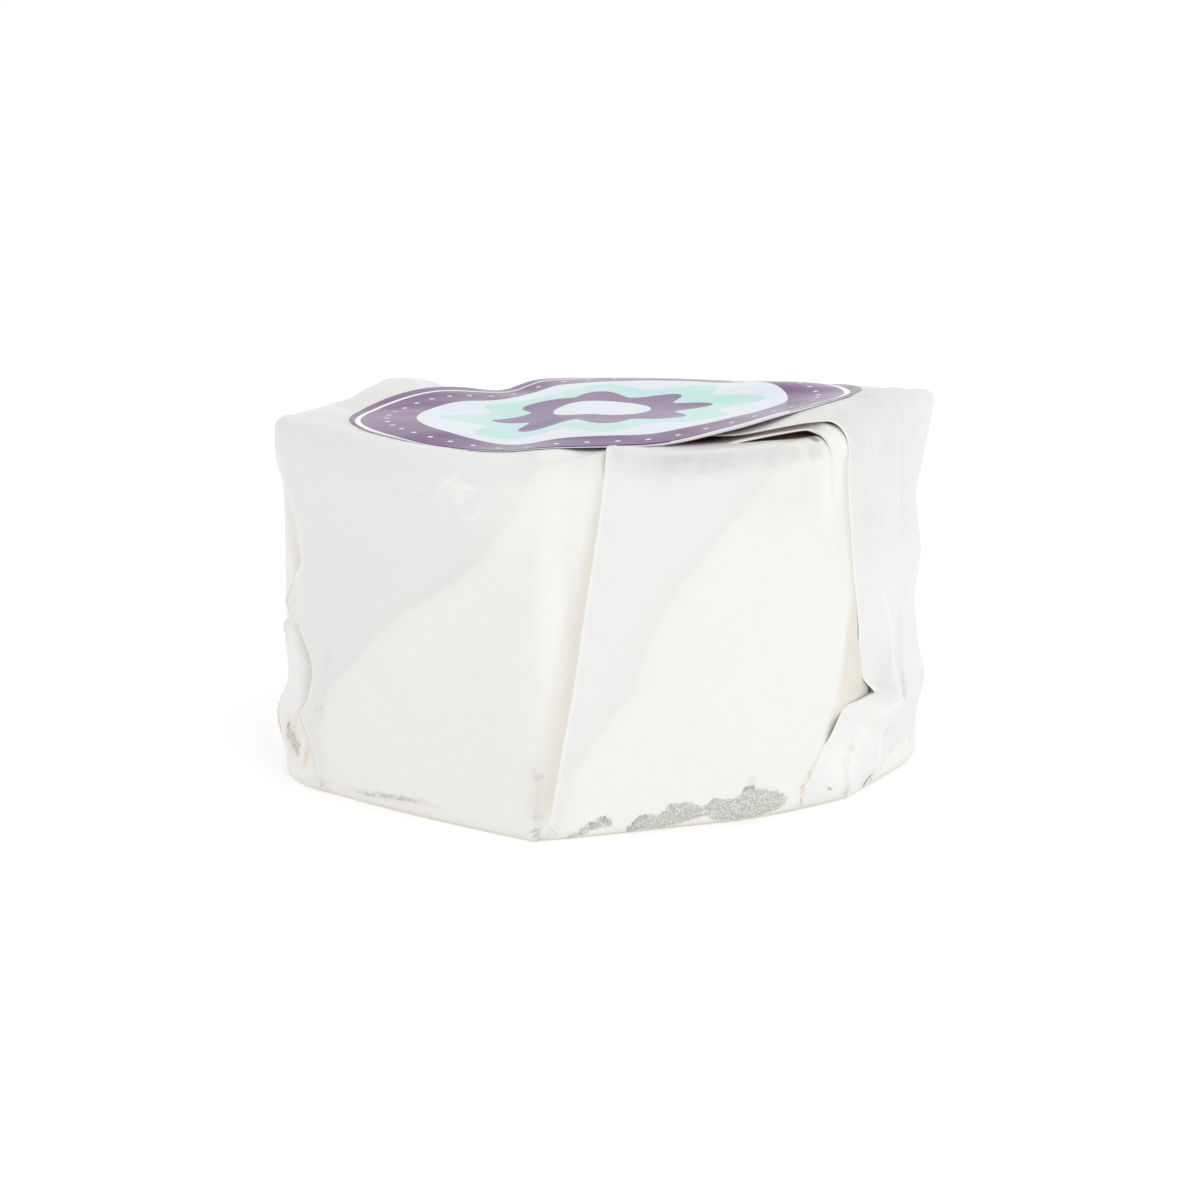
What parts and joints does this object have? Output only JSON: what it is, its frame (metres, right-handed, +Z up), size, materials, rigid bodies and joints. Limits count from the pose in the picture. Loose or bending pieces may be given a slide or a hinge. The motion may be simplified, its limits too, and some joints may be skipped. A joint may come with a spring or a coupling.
{
  "type": "cheese wheel",
  "caption": "Small soft-ripened goat's-cheese wheel in its folded white paper, pleated up the sides and closed on top with a round sticker.",
  "frame": {"origin": "middle of the part's box, on the surface that the wheel stands on", "axes": "+Z up along the wheel's axis, -Y towards the viewer, +X to the viewer's right"},
  "size_m": [0.1086, 0.1038, 0.0622],
  "materials": {
    "rind": null,
    "wrap_paper": "thin white waxed wrapping paper, slightly see-through where it lies on the cheese, satin",
    "sticker": "gloss-laminated printed sticker, plum border round a pale blue middle"
  },
  "bodies": {
    "root": {"cheese_wheel": "rind", "paper_wrap": "wrap_paper", "label": "sticker"}
  },
  "joints": []
}
